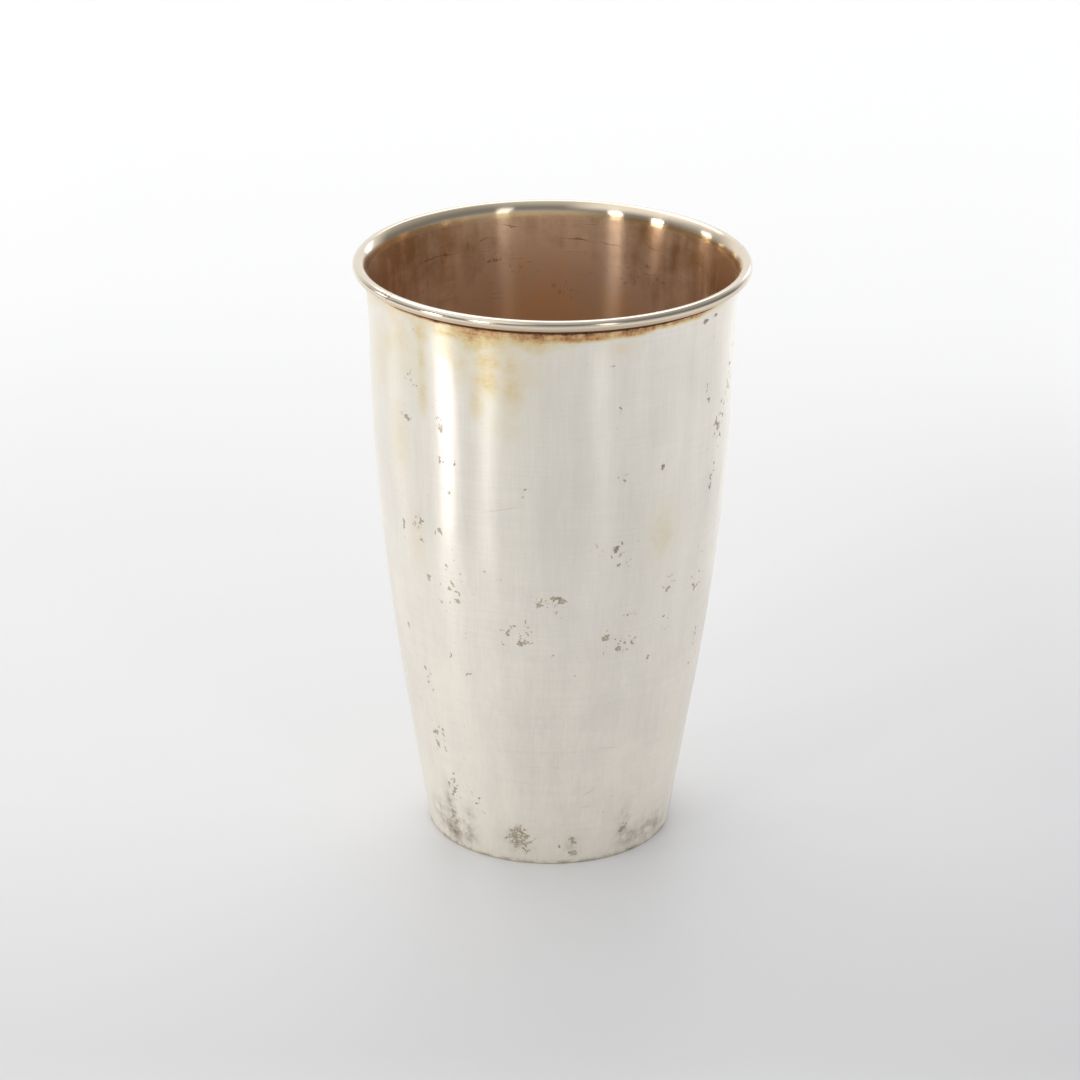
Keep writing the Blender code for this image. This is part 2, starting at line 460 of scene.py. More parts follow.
@dataclass(frozen=True)
class SatinSilver:
    """Sheet silver, raised by hand and rubbed round and round with a fine cloth.

    To the eye it is a soft warm white with highlights drawn out upright, a faint level grain, straw
    to brown tarnish that gathers under the rim, painted shade in the crevice under the rim and along
    the foot, and small grey pits.
    """

    form: CupForm
    name: str = "satin_sheet_silver"
    cool: str = "#F3EDE3"
    warm: str = "#FFF9ED"
    film: str = "#A39684"
    pit: str = "#C2B49F"
    tarnish: Tones = (
        (0.00, "#FAF4E6"), (1.00, "#41322A"), (0.18, "#F5E9CF"), (0.38, "#EDD7A2"),
        (0.58, "#DBB080"), (0.74, "#BA875F"), (0.88, "#7C5744"),
    )
    scratches: tuple[Scratch, ...] = (
        Scratch((-25.5, 78.8), (-7.5, 81.8)),
        Scratch((11.0, 15.2), (22.0, 18.4)),
        Scratch((12.0, 13.4), (19.0, 13.6), 0.09),
        Scratch((17.0, 27.2), (30.0, 26.4), 0.09),
    )
    roughness: float = 0.28
    low_roughness: float = 0.40
    streak: float = 0.945  # how far the upper wall draws highlights out upright
    low_streak: float = 0.40
    worn_from: float = 46.0  # heights in millimetres between which the satin changes
    worn_to: float = 73.0
    worn_sway: float = 24.0  # how far the clouds shift those heights
    # Sizes of the patterns in millimetres: round the cup and upwards, or all ways
    rub: tuple[float, float] = (40.0, 0.25)  # marks of the cloth, coarser than life so that they show
    mottle: float = 11.0  # cloudy patches
    blotch: float = 2.4  # blotches and level wipes in the tarnish
    wipe: tuple[float, float] = (5.0, 0.5)
    wisp: float = 2.0  # wisps in the grey film
    pit_size: float = 1.3
    craze: float = 0.8  # cells in crazed pits
    speck: float = 0.7  # single specks, and the patches in which they are thicker
    speck_patch: float = 14.0
    strokes: tuple[tuple[float, float, float], ...] = (  # width, height and weight of the cloth's strokes
        (0.45, 12.0, 0.45), (12.0, 0.35, 0.35), (4.0, 70.0, 0.50),
    )

    def make(self) -> Material:
        """Build the material.

        Returns:
            The finished material.
        """
        material, put, place, shader = started(self.name)
        rub = drawn_grain(put, place, *self.rub, 3.0, 0.6)
        cloud = put("TexNoise", speckle(place, self.mottle, 3.0))
        # Strokes of the cloth, level and upright, and slow clouds shift the silver between cool and warm
        strokes = put("Math", [cloud, 0.35], operation="MULTIPLY")
        for across, up, share in self.strokes:
            hatch = drawn_grain(put, place, across, up, 3.0, 0.6)
            strokes = put("Math", [hatch, share, strokes], operation="MULTIPLY_ADD")
        mottle = put("MapRange", [strokes, 0.65, 1.0])
        colour = put("Mix", [mottle, linear(self.cool), linear(self.warm)], data_type="RGBA")
        # Tarnish, with painted shade in the rim's crevice and at the foot: the painted amount, broken up by
        # blotches and by the cloth's level grain, picks its colour
        blotch = put("TexNoise", speckle(place, self.blotch, 6.0, 0.72))
        wipe = drawn_grain(put, place, *self.wipe, 4.0, 0.65)
        broken = put("Math", [wipe, 0.35, blotch], operation="MULTIPLY_ADD")
        swing = put("MapRange", [broken, 0.49, 0.86, 0.45, 1.15])
        layers = ("tarnish", "smudge", "pitting")
        painted, film_and_foot_shadow, eaten = (put("Attribute", attribute_name=n).outputs["Fac"] for n in layers)
        patchy = put("Math", [painted, swing], operation="MULTIPLY", use_clamp=True)
        steady = put("MapRange", [painted, 0.75, 1.0, 0.0, 0.95])
        amount = put("Math", [patchy, steady], operation="MAXIMUM")
        stain_and_shade = put("ValToRGB", [amount], self.tarnish)
        cover = put("MapRange", [amount, 0.0, 0.12])
        # Grey film low on the wall, with a painted contact shadow along the foot
        wisp = put("TexNoise", speckle(place, self.wisp, 6.0, 0.65))
        thick = put("MapRange", [wisp, 0.38, 0.68])
        film = put("Math", [thick, film_and_foot_shadow], operation="MULTIPLY", use_clamp=True)
        # Pits: crisp flecks where the painted amount lifts a fine noise over its threshold
        fleck = put("TexNoise", {**speckle(place, self.pit_size, 4.0, 0.6), "Distortion": 0.5})
        lifted = put("Math", [eaten, 0.30, fleck], operation="MULTIPLY_ADD")
        crisp = put("MapRange", [lifted, 0.775, 0.815])
        hollow = put("MapRange", [lifted, 0.84, 0.92, 1.0, 0.45])
        solid = put("Math", [crisp, hollow], operation="MULTIPLY")
        # The deepest are crazed, dark only in the lines between small cells
        net = {"Vector": place, "Scale": 1 / (self.craze * MM)}
        cells = put("TexVoronoi", net, feature="DISTANCE_TO_EDGE")
        lines = put("MapRange", [cells, 0.03, 0.2, 1.0, 0.1])
        deep = put("MapRange", [eaten, 1.05, 1.2])
        marks = put("Mix", [deep, solid, lines])
        # A pepper of single specks, thicker in some places than in others
        patch = put("TexNoise", speckle(place, self.speck_patch, 2.0))
        speck = put("TexNoise", speckle(place, self.speck, 3.0))
        strewn = put("Math", [patch, 0.25, speck], operation="MULTIPLY_ADD")
        pepper = put("MapRange", [strewn, 0.86, 0.9, 0.0, 0.6])
        marks = put("Math", [marks, pepper], operation="MAXIMUM")
        for scratch in self.scratches:
            marks = put("Math", [scratch.draw(put, place, self.form), 0.35, marks], operation="MULTIPLY_ADD")
        pits = put("Clamp", [marks])
        for share, paint in ((cover, stain_and_shade), (film, linear(self.film)), (pits, linear(self.pit))):
            colour = put("Mix", [share, colour, paint], data_type="RGBA")
        # The satin grows rounder and duller down the wall, and dull where it is filmed or eaten
        height = put("SeparateXYZ", [place]).outputs["Z"]
        worn = put("Math", [cloud, self.worn_sway * MM, height], operation="MULTIPLY_ADD")
        low, high = ((edge + self.worn_sway / 2) * MM for edge in (self.worn_from, self.worn_to))
        rough = put("MapRange", [worn, low, high, self.low_roughness, self.roughness])
        drawn = put("MapRange", [worn, low, high, self.low_streak, self.streak])
        for cause, share in ((rub, 0.06), (film, 0.15), (pits, 0.25)):
            rough = put("Math", [cause, share, rough], operation="MULTIPLY_ADD")
        sunk = put("Math", [pits, -0.4, 1.0], operation="MULTIPLY_ADD")
        relief = put("Math", [rub, 0.14, sunk], operation="MULTIPLY_ADD")
        bump = put("Bump", {"Height": relief, "Strength": 0.5, "Distance": 0.03 * MM})
        tangent = put("Tangent", direction_type="RADIAL", axis="Z")
        fill(shader, {"Base Color": colour, "Roughness": rough, "Normal": bump, "Tangent": tangent})
        fill(shader, {"Anisotropic": drawn, "Anisotropic Rotation": UPRIGHT})
        return material


@dataclass(frozen=True)
class BrownedSilver:
    """The cup's inside, never polished below the lip.

    To the eye it is a dim brown sheen with upright streaks of light and a level grain, a few dark cracks
    in the tarnish, a bright rolled lip above, and a thin golden fringe where the polish stops.
    """

    form: CupForm
    name: str = "browned_sheet_silver"
    polish: str = "#ECDDC6"
    fringe: str = "#EFD3A2"
    orange: str = "#F6C696"
    brown: str = "#EFCBAB"
    dark: str = "#B0865E"
    crack: str = "#4B3626"
    border: float = 117.5  # height in millimetres at which the polish stops
    waver: float = 0.45  # how far that line wanders
    fringe_width: float = 0.8 * MM
    # Sizes of the patterns in millimetres: round the cup and upwards, or all ways
    wander: tuple[float, float] = (5.0, 15.0)
    rub: tuple[float, float] = (12.0, 0.35)
    smear: tuple[float, float] = (2.5, 22.0)
    cloud: float = 6.0
    grit: float = 1.2
    jog: float = 2.2  # bends in the cracks, and how far they stray
    stray: float = 2.5
    cracks: tuple[Scratch, ...] = (
        Scratch((178.0, 112.5), (164.0, 112.3), 0.15),
        Scratch((165.0, 112.4), (156.0, 111.6), 0.15),
        Scratch((149.0, 113.4), (141.0, 111.9), 0.17),
        Scratch((-163.0, 115.7), (-170.0, 114.8), 0.16),
        Scratch((-154.0, 112.2), (-160.0, 113.4), 0.19),
        Scratch((-151.0, 113.2), (-151.3, 111.0), 0.17),
        Scratch((-126.0, 110.7), (-152.0, 111.6), 0.14),
    )

    def make(self) -> Material:
        """Build the material.

        Returns:
            The finished material.
        """
        material, put, place, shader = started(self.name)
        height = put("SeparateXYZ", [place]).outputs["Z"]
        wander = drawn_grain(put, place, *self.wander, 4.0)
        edge = put("Math", [wander, 2 * self.waver * MM, height], operation="MULTIPLY_ADD")
        top = (self.border + self.waver) * MM
        kept = put("MapRange", [edge, top, top + self.fringe_width])
        gold = put("MapRange", [edge, top - self.fringe_width, top])
        # The brown: a level grain, upright smears and clouds over the painted tone, which holds the inside's
        # tarnish and painted shading
        rub = drawn_grain(put, place, *self.rub, 4.0, 0.6)
        smear = drawn_grain(put, place, *self.smear, 4.0)
        cloud = put("TexNoise", speckle(place, self.cloud, 6.0, 0.65))
        tone = put("Attribute", attribute_name="tarnish").outputs["Fac"]
        for cause, share in ((rub, 0.1), (smear, 0.4), (cloud, 0.6)):
            tone = put("Math", [cause, share, tone], operation="MULTIPLY_ADD")
        colour = put("ValToRGB", [tone], [(0.3, self.orange), (0.9, self.dark), (0.55, self.brown)])
        # Cracks and blots, drawn crooked, and broken up by a fine noise
        jog = put("TexNoise", speckle(place, self.jog, 3.0))
        aside = put("VectorMath", [jog.outputs["Color"], (0.5, 0.5, 0.5)], operation="SUBTRACT")
        shift = put("VectorMath", [aside, self.stray * MM], operation="SCALE")
        crooked = put("VectorMath", [place, shift], operation="ADD")
        grit = put("TexNoise", speckle(place, self.grit, 5.0, 0.65))
        blotted = put("Attribute", attribute_name="smudge").outputs["Fac"]
        lifted = put("Math", [blotted, 0.3, grit], operation="MULTIPLY_ADD")
        marks = put("MapRange", [lifted, 0.66, 0.84])
        for crack in self.cracks:
            marks = put("Math", [crack.draw(put, crooked, self.form), marks], operation="MAXIMUM")
        soft = put("MapRange", [grit, 0.35, 0.6, 0.25, 0.7])
        shade = put("Math", [marks, soft], operation="MULTIPLY")
        for share, paint in ((shade, self.crack), (gold, self.fringe), (kept, self.polish)):
            colour = put("Mix", [share, colour, linear(paint)], data_type="RGBA")
        dull = put("Math", [rub, 0.06, 0.255], operation="MULTIPLY_ADD")
        rough = put("Mix", [gold, dull, 0.17])
        film = put("MapRange", [gold, 0.0, 1.0, 0.7, 1.0])
        bump = put("Bump", {"Height": rub, "Strength": 0.12, "Distance": 0.015 * MM})
        tangent = put("Tangent", direction_type="RADIAL", axis="Z")
        fill(shader, {"Base Color": colour, "Roughness": rough, "Metallic": film, "Normal": bump})
        fill(shader, {"Tangent": tangent, "Anisotropic": 1.0, "Anisotropic Rotation": UPRIGHT})
        return material


@dataclass(frozen=True)
class PolishedSilver:
    """Silver rubbed bright by hands and lips, as on the rim.

    To the eye it is a near mirror with hair-fine scratches round it and a few dull pinholes, and it browns
    where hands don't reach under it.
    """

    form: CupForm
    name: str = "polished_silver"
    silver: str = "#EADFCD"
    brown: str = "#D6BD9E"
    pin: str = "#B6A995"
    roughness: float = 0.16
    nicks: tuple[float, ...] = (-59.0, -53.0, 101.0, 163.0, -128.0)  # bearings of pitted places
    nick_reach: float = 3.0 * MM
    hair: tuple[float, float] = (9.0, 0.2)  # length and spacing of the scratches, in millimetres
    fleck: float = 0.9  # size of the pinholes
    browned: tuple[float, float] = (0.3 * MM, -0.9 * MM)  # heights about the bead's centre where it browns

    def make(self) -> Material:
        """Build the material.

        Returns:
            The finished material.
        """
        material, put, place, shader = started(self.name)
        hair = drawn_grain(put, place, *self.hair, 3.0)
        lifted = put("TexNoise", speckle(place, self.fleck, 3.0))
        # The nicks lie on the bead's outer shoulder
        radius, height = (centre + 0.7 * self.form.bead_radius for centre in self.form.bead_centre)
        for bearing in self.nicks:
            aside, ahead = towards(bearing)
            about = {"Location": (aside * radius, ahead * radius, height), "Scale": [self.nick_reach] * 3}
            ball = put("Mapping", {"Vector": place, **about}, vector_type="TEXTURE")
            near = put("TexGradient", [ball], gradient_type="SPHERICAL").outputs["Fac"]
            lifted = put("Math", [near, 0.22, lifted], operation="MULTIPLY_ADD")
        pins = put("MapRange", [lifted, 0.74, 0.78])
        level = put("SeparateXYZ", [place]).outputs["Z"]
        start, end = (self.form.bead_centre[1] + height for height in self.browned)
        under = put("MapRange", [level, start, end])
        browned = put("Mix", [under, linear(self.silver), linear(self.brown)], data_type="RGBA")
        colour = put("Mix", [pins, browned, linear(self.pin)], data_type="RGBA")
        rough = put("Math", [hair, 0.10, self.roughness - 0.05], operation="MULTIPLY_ADD")
        bump = put("Bump", {"Height": hair, "Strength": 0.15, "Distance": 0.01 * MM})
        fill(shader, {"Base Color": colour, "Roughness": rough, "Normal": bump})
        return material


@dataclass(frozen=True)
class SilverSolder:
    """Silver solder that was never cleaned after the torch.

    To the eye it is a dull brown run, darker and lighter along its length.
    """

    name: str
    dark: str
    light: str
    roughness: float = 0.5
    patch: float = 4.0  # sizes of its patches and of its grit, in millimetres
    grit: float = 0.4

    def make(self) -> Material:
        """Build the material.

        Returns:
            The finished material.
        """
        material, put, place, shader = started(self.name)
        patch = put("TexNoise", speckle(place, self.patch, 5.0))
        colour = put("ValToRGB", [patch], [(0.3, self.dark), (0.75, self.light)])
        rough = put("Math", [patch, 0.2, self.roughness - 0.1], operation="MULTIPLY_ADD")
        grit = put("TexNoise", speckle(place, self.grit, 2.0))
        bump = put("Bump", {"Height": grit, "Strength": 0.4, "Distance": 0.03 * MM})
        fill(shader, {"Base Color": colour, "Roughness": rough, "Normal": bump})
        return material


@dataclass(frozen=True)
class WornSilver:
    """The base sheet: scuffed silver underneath, browned silver on the side that faces into the cup.

    To the eye the underside has round planishing marks, random scuffs and table scratches every way, and is
    darker towards its edge.
    """

    form: CupForm
    name: str = "worn_sheet_silver"
    silver: str = "#D8D0C2"
    scuff: str = "#AA9F90"
    score: str = "#8A7F71"
    ring_size: float = 6.0  # in millimetres, as the scuffs are
    scuff_size: float = 3.0
    score_turns: tuple[float, ...] = (0.4, -0.9, 1.9)  # ways that the scratches run, in radians
    score_size: tuple[float, float, float] = (14 * MM, 0.3 * MM, 1.0)
    edge: str = "#7A6248"
    edge_width: float = 2.5 * MM
    brown: str = "#7E5636"

    def make(self) -> Material:
        """Build the material.

        Returns:
            The finished material.
        """
        material, put, place, shader = started(self.name)
        height = put("SeparateXYZ", [place]).outputs["Z"]
        flat = put("VectorMath", [place, (1.0, 1.0, 0.0)], operation="MULTIPLY")
        reach = put("VectorMath", [flat], operation="LENGTH")
        wavy = {"Vector": flat, "Scale": 1 / (self.ring_size * MM), "Distortion": 1.2, "Detail": 2.0}
        rings = put("TexWave", wavy, wave_type="RINGS", rings_direction="Z").outputs["Fac"]
        scuffs = put("TexNoise", speckle(flat, self.scuff_size, 6.0, 0.7))
        colour = put("Mix", [scuffs, linear(self.silver), linear(self.scuff)], data_type="RGBA")
        scores: Any = 0.0
        for turn in self.score_turns:
            lie = {"Vector": flat, "Rotation": (0.0, 0.0, turn), "Scale": self.score_size}
            run = put("Mapping", lie, vector_type="TEXTURE")
            hatch = put("TexNoise", {"Vector": run, "Scale": 1.0, "Detail": 2.0})
            line = put("MapRange", [hatch, 0.62, 0.72, 0.0, 0.7])
            scores = put("Math", [line, scores], operation="MAXIMUM")
        radius = float(self.form.inner_radius(0.0))
        rim = put("MapRange", [reach, radius - self.edge_width, radius, 0.0, 0.8])
        up = put("Math", [height, self.form.base_thickness / 2], operation="GREATER_THAN")
        for share, paint in ((scores, self.score), (rim, self.edge), (up, self.brown)):
            colour = put("Mix", [share, colour, linear(paint)], data_type="RGBA")
        rough = put("Math", [scuffs, 0.3, 0.28], operation="MULTIPLY_ADD")
        bump = put("Bump", {"Height": rings, "Strength": 0.7, "Distance": 0.06 * MM})
        fill(shader, {"Base Color": colour, "Roughness": rough, "Normal": bump})
        return material


@dataclass
class RaisedCup:
    """The hand-raised wall with its rolled lip, in one sheet."""

    form: CupForm
    segments: int = 320
    outer_rows: int = 164
    brow_rows: int = 12
    brow: float = 3.0 * MM  # how far under the neck the rows are finer, for the crisp stain there
    inner_rows: int = 64
    flare_rows: int = 12
    lip_rows: int = 10
    hammer_depth: float = 0.10 * MM
    hammer_waves: int = 14
    hammer_turns: tuple[int, int] = (3, 9)  # fewest waves round the cup, and one more than the most
    hammer_length: float = 45 * MM  # shortest wave up the wall
    still_foot: float = 8 * MM  # heights at the foot and at the neck over which the waves die away
    still_neck: float = 10 * MM
    # The stain under the rim, in millimetres: where it starts, how far down it fades or ends, and its sway
    stain_start: float = 0.5
    stain_fade: tuple[float, float] = (5.8, 5.0)
    stain_end: tuple[float, float] = (2.45, 0.5)
    seed: int = 7
    stains: tuple[Spot, ...] = spots(
        (-32, 115, 4.5, 1, 0.5), (-24, 114.8, 5, 1.4, 0.52), (-20, 110.2, 3.6, 2.6, 0.46),
        (-20.5, 106.4, 3.2, 3.4, 0.45), (-13, 109.5, 1.8, 3.4, 0.36), (-12.5, 105, 3, 5, 0.29),
        (-9, 109, 5, 6, 0.15), (-15, 112.8, 4, 2.4, 0.26), (-23.2, 101.6, 1.8, 3.4, 0.3),
        (-15, 98, 4.5, 4.5, 0.13), (-44, 108, 1.3, 4, 0.32), (-44, 101, 1.3, 4.5, 0.36),
        (-29, 109, 2.4, 5, 0.2), (-34, 111.5, 3, 3, 0.24), (-52, 108, 12, 9, 0.12),
        (-54, 111, 4, 4, 0.25), (-54, 114.2, 3.5, 2.2, 0.22), (-43.5, 113.8, 2.2, 3.4, 0.36),
        (-61, 108.5, 3, 3.5, 0.2), (-68, 105, 5, 8, 0.15), (-56, 90, 3.5, 9, 0.16),
        (-50, 70, 3, 7, 0.13), (39, 73, 4, 6.5, 0.17), (57, 25, 2.4, 11, 0.07),
        (21, 113.2, 4, 1.8, 0.17),
    )
    pits: tuple[Spot, ...] = spots(
        (-3.5, 60.5, 2, 1.6, 1), (2.5, 61.3, 3, 1.8, 1), (2.5, 58, 1.6, 2.4, 0.85),
        (-12, 54, 5.5, 4.5, 0.8), (-8, 51.8, 2.2, 1.8, 0.95), (20, 52.3, 1.8, 2.4, 0.98),
        (25, 51, 5.5, 3.2, 0.8), (27.5, 57, 2.4, 1.5, 0.9), (37.5, 45.2, 2, 2, 0.88),
        (44.5, 53, 2.4, 2.6, 0.85), (43.5, 61.5, 2, 2.6, 0.9), (22, 70.5, 7.5, 4.5, 0.66),
        (37, 87.5, 1.7, 1.9, 0.92), (24.5, 86.3, 3, 2, 0.8), (18.5, 110, 1.3, 1.3, 0.9),
        (21.2, 99.5, 1.4, 3.2, 0.85), (20.5, 97.5, 0.8, 0.9, 1), (20.9, 95.5, 0.9, 0.8, 1.02),
        (56.5, 100.5, 0.8, 1.4, 1), (57.5, 98.2, 0.8, 2.6, 1), (-8, 84.5, 1.8, 1.5, 0.85),
        (52.5, 114.6, 1.6, 1.2, 1), (59, 115, 1.2, 0.8, 0.95), (-46.8, 113.4, 0.9, 1, 1.02),
        (-48.8, 111.5, 0.9, 1, 1.02), (-47, 115, 0.9, 0.9, 1.02), (-46.7, 101.7, 0.8, 1.2, 0.98),
        (-53.9, 98.1, 0.8, 1.2, 0.98), (-49.7, 94, 0.9, 1.4, 1), (-60.5, 114.8, 0.9, 1, 0.95),
        (-50.5, 104, 2.2, 3, 0.86), (-51.5, 95, 2.4, 3.6, 0.88), (-36.3, 96, 1.6, 2.8, 0.9),
        (-37, 88.5, 1.6, 1.4, 0.98), (-31.5, 88.5, 1.3, 1.6, 0.92), (-34.5, 82.5, 1.6, 1.6, 0.82),
        (-48, 72, 2, 5, 0.84), (-57, 70.5, 1.6, 4, 0.82), (-38.5, 73, 2, 2, 0.8),
        (-35.5, 61.5, 3.4, 7, 0.74), (-52, 38, 1.5, 4, 0.82), (-52, 25.5, 1.6, 6, 0.92),
        (-46.5, 14.5, 2.6, 6, 0.84), (-45, 62.1, 1, 1.1, 0.97), (-40.6, 58.2, 0.9, 2, 0.97),
        (-36.6, 65.2, 1, 1.2, 0.97), (-31.9, 64.2, 0.9, 1.4, 0.97), (-33.2, 58.5, 1.1, 1.6, 0.97),
        (-34.2, 53.8, 0.8, 1, 0.97), (-37.8, 45.9, 0.9, 1, 0.97), (-53, 40.5, 0.9, 1.2, 0.97),
        (-50.6, 35.6, 0.8, 2.4, 0.95), (-47.4, 24.6, 0.8, 5, 0.93), (-35.6, 29.9, 0.8, 1, 0.97),
        (-30.9, 42.6, 0.8, 1, 0.97), (-17.5, 65, 0.9, 0.9, 0.98), (-21.8, 66.6, 0.8, 0.9, 0.97),
        (-27, 61.8, 0.9, 1, 0.97), (-9.5, 38.3, 0.8, 0.9, 0.97), (0.7, 49.4, 0.9, 0.9, 0.98),
        (-61.7, 48.6, 0.9, 1.6, 0.95), (-33, 13, 2.6, 4, 0.7), (-48, 7, 3, 4, 0.95),
        (-14.5, 6, 3.2, 3, 1.6), (-13, 2.8, 3.2, 1, 1), (10.5, 5.6, 1.3, 1.4, 1.05),
        (10.5, 2.6, 1.8, 1.2, 1.05), (4.5, 4.6, 0.8, 1.2, 0.9), (35.5, 7.5, 1.2, 3, 1),
        (66, 92, 4, 8, 0.84), (74, 99, 3, 9, 0.84), (63, 79, 2.6, 6, 0.8), (60, 60, 3.6, 9, 0.72),
        (64, 44, 3, 9, 0.66),
    )
    smudges: tuple[Spot, ...] = spots(
        (-50, 8, 1.4, 6, 0.95), (-50, 3.8, 3, 3, 1.2), (-58, 6, 3, 3.4, 0.65), (-40, 4.6, 2, 2.6, 1),
        (-38, 9.5, 1.6, 2, 0.45), (-15, 5.5, 3, 3, 0.45), (10, 4, 1.8, 2.4, 0.4),
        (35, 6.5, 1.4, 4.4, 0.85), (41, 3.8, 3.2, 2.2, 0.75), (54, 3.6, 5, 2.8, 0.8),
    )
    blots: tuple[Spot, ...] = spots(
        (-159, 109, 3, 1.2, 0.65), (-168, 106.7, 2.4, 1.2, 0.55), (-163, 114.8, 3, 0.8, 0.6),
        (176, 101.5, 3.5, 1.6, 0.7), (-140, 112, 7, 2.5, 0.3), (150, 106, 8, 4, 0.35),
    )

    def section(self) -> Section:
        """Closed section of the sheet: up the outer face, round the lip and down the inner face.

        Returns:
            Radius and height of each corner.
        """
        form = self.form
        at_flare, at_bead = form.crossing(form.flare_radius, form.bead_radius)
        lip, neck = 180 - form.flare_angle, 180 - form.neck_lean
        edge = form.edge_rounding
        corner = arc((form.wall_radius(edge) - edge, edge), edge, -90, 0, 4)
        brow = form.neck_height - self.brow
        rows = spaced(edge, brow, self.outer_rows) + spaced(brow, form.neck_height, self.brow_rows)[1:]
        outer = [(form.wall_radius(z), z) for z in rows]
        flare = arc(form.flare_centre, form.flare_radius, neck, lip - at_flare, self.flare_rows)
        outside = arc(form.bead_centre, form.bead_radius, at_bead - form.flare_angle, 90, self.lip_rows)
        inside = arc(form.bead_centre, form.bead_radius, 90, lip, self.lip_rows)
        throat = arc(form.flare_centre, form.flare_radius + form.wall, lip, neck, self.flare_rows)
        inner = [(form.inner_radius(z), z) for z in spaced(form.neck_height, 0, self.inner_rows)]
        return corner + outer[1:] + flare[1:] + outside[1:] + inside[1:] + throat[1:] + inner[1:]

    def zones(self, shape: BMesh) -> None:
        """Number each face by the zone that it lies in.

        Args:
            shape: The turned sheet.
        """
        form = self.form
        # Above the neck the arcs tell, with some slack because a face's centre lies inside its arc
        for face in shape.faces:
            centre = face.calc_center_median()
            radius, height = math.hypot(centre.x, centre.y), centre.z
            if height > form.neck_height:
                reach = math.dist((radius, height), form.flare_centre)
                on_bead = math.dist((radius, height), form.bead_centre) > form.bead_radius * 0.99
                inside = reach > form.flare_radius + form.wall * 0.9 and radius < form.bead_centre[0]
                outside = reach < form.flare_radius * 1.001
                zone = Zone.OUTSIDE if outside else Zone.INSIDE if inside and on_bead else Zone.LIP
            else:
                middle = form.wall_radius(height) - form.wall / 2
                zone = Zone.OUTSIDE if radius > middle else Zone.INSIDE
            face.material_index = zone.value

    def hammer(self, at: Points) -> Array:
        """Slow hand-made waves in the sheet.

        Args:
            at: Points of the wall.

        Returns:
            How far each point moves outwards.
        """
        rng = np.random.default_rng(self.seed)
        depth = np.zeros_like(at.height)
        for _ in range(self.hammer_waves):
            turns = int(rng.integers(*self.hammer_turns))
            rise = rng.uniform(-1.0, 1.0) * math.tau / self.hammer_length
            phase = rng.uniform(0, math.tau)
            depth += np.cos(turns * at.bearing + rise * at.height + phase)
        # The foot and the neck stay round, for the base and the rim to fit
        neck = self.form.neck_height
        low, high = ramp(at.height, 0, self.still_foot), ramp(at.height, neck, neck - self.still_neck)
        return depth * (low * high) * self.hammer_depth / math.sqrt(self.hammer_waves)

    def strewn(self, count: int, low: Spot, high: Spot) -> tuple[Spot, ...]:
        """Marks strewn over the sides and the back, which the photograph doesn't show.

        Args:
            count: How many marks there are.
            low: The least value of each of a mark's numbers.
            high: The greatest value of each.

        Returns:
            The marks, the same ones each time.
        """
        rng = np.random.default_rng(self.seed + count)
        return tuple(Spot(*rng.uniform(astuple(low), astuple(high))) for _ in range(count))

    def build(self, finishes: list[Material]) -> Object:
        """Make the wall, wave it, and paint its age, with some painted shade, into it.

        Args:
            finishes: Materials for the outside, the lip and the inside.

        Returns:
            The piece.
        """
        form = self.form
        shape = turned(self.section(), self.segments)
        self.zones(shape)
        piece = settle("wall_shell", shape, finishes, "side_wall")
        mesh = piece.data
        flat = np.empty(len(mesh.vertices) * 3)
        mesh.vertices.foreach_get("co", flat)
        points = flat.reshape(-1, 3)
        radius = np.hypot(points[:, 0], points[:, 1])
        bearing = np.arctan2(points[:, 0], -points[:, 1])
        height = points[:, 2].copy()
        inside = radius < form.wall_radius(np.minimum(height, form.neck_height)) - form.wall / 2
        at = Points(bearing, height, radius, inside)
        points[:, :2] *= ((radius + self.hammer(at)) / radius)[:, None]
        mesh.vertices.foreach_set("co", points.ravel())
        mesh.update()
        for name, values in self.age(at).items():
            layer = mesh.attributes.new(name, "FLOAT", "POINT")
            layer.data.foreach_set("value", values.astype(np.float32))
        return piece

    def age(self, at: Points) -> dict[str, Array]:
        """Amounts of tarnish, pitting and grey film at each point, with painted shade in the rim's crevice,
        at the foot and inside.

        Args:
            at: Points of the wall.

        Returns:
            The amounts by name, from 0 upwards.
        """
        rng = np.random.default_rng(self.seed + 1)
        ragged = np.zeros_like(at.height)
        for turns in RAGGED_TURNS:
            ragged += np.cos(turns * at.bearing + rng.uniform(0, math.tau)) / len(RAGGED_TURNS)
        stains = self.stains + self.strewn(18, Spot(80, 94, 1.5, 4, 0.08), Spot(280, 114, 4, 9, 0.34))
        pits = self.pits + self.strewn(46, Spot(78, 3, 1.2, 1.2, 0.76), Spot(285, 112, 3.4, 4.5, 1.0))
        smudges = self.smudges + self.strewn(12, Spot(75, 3, 1.2, 2, 0.4), Spot(290, 7, 4, 5, 1.0))
        # Under the rim, by degrees from the front and millimetres below the neck: strongest in front, in
        # patches behind, fading slowly on the left and ending short on the right
        facing = np.degrees(at.bearing)
        below = (self.form.neck_height - self.stain_start * MM - at.height) / MM
        front = ramp(facing, -42, -26, 0.35) * ramp(facing, 60, 46, 0.3)
        rear = ramp(np.abs(facing), 85, 100) * np.clip(0.5 + 3 * ragged, 0.2, 0.9)
        slow = np.maximum(ramp(facing, 8, -6), ramp(facing, 80, 95))
        depth, end = (size + sway * ragged for size, sway in (self.stain_fade, self.stain_end))
        fading = np.clip(0.88 - below / depth, 0, 1)
        ends = end - 0.75 * ramp(facing, 24, 34)
        short = 0.76 * ramp(below, ends, ends - 0.9)
        under_rim = np.maximum(front, rear) * (slow * fading + (1 - slow) * short)
